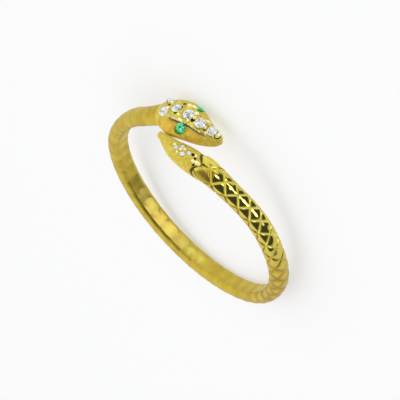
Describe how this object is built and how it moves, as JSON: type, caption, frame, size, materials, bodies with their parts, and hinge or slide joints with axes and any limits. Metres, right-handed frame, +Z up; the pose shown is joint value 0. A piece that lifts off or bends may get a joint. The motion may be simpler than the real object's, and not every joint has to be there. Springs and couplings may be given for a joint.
{
  "type": "snake wrap ring",
  "caption": "Finger ring shaped as a scaled snake that winds once round the finger, its tail beside its head, with clear round stones on head and tail and green stone eyes.",
  "frame": {"origin": "on the table under the middle of the ring as it lies on its side", "axes": "+Z up from the table and, but for a lean of about 8 degrees, along the finger; the head and tail are towards -Y and +X"},
  "size_m": [0.0198, 0.0199, 0.0052],
  "materials": {
    "casting": "yellow gold, polished on the scales and the crest, satin on the jaw, neck and tail",
    "clear_stone": "clear round brilliant, polished facets",
    "green_stone": "emerald green round brilliant, polished facets"
  },
  "bodies": {
    "root": {"snake_ring": "casting", "crest_stone_1": "clear_stone", "crest_stone_2": "clear_stone", "crest_stone_3": "clear_stone", "crest_stone_4": "clear_stone", "crest_stone_5": "clear_stone", "crest_stone_6": "clear_stone", "eye_stone_left": "green_stone", "eye_stone_right": "green_stone", "tail_stone_1": "clear_stone", "tail_stone_2": "clear_stone", "tail_stone_3": "clear_stone", "tail_stone_4": "clear_stone"}
  },
  "joints": []
}
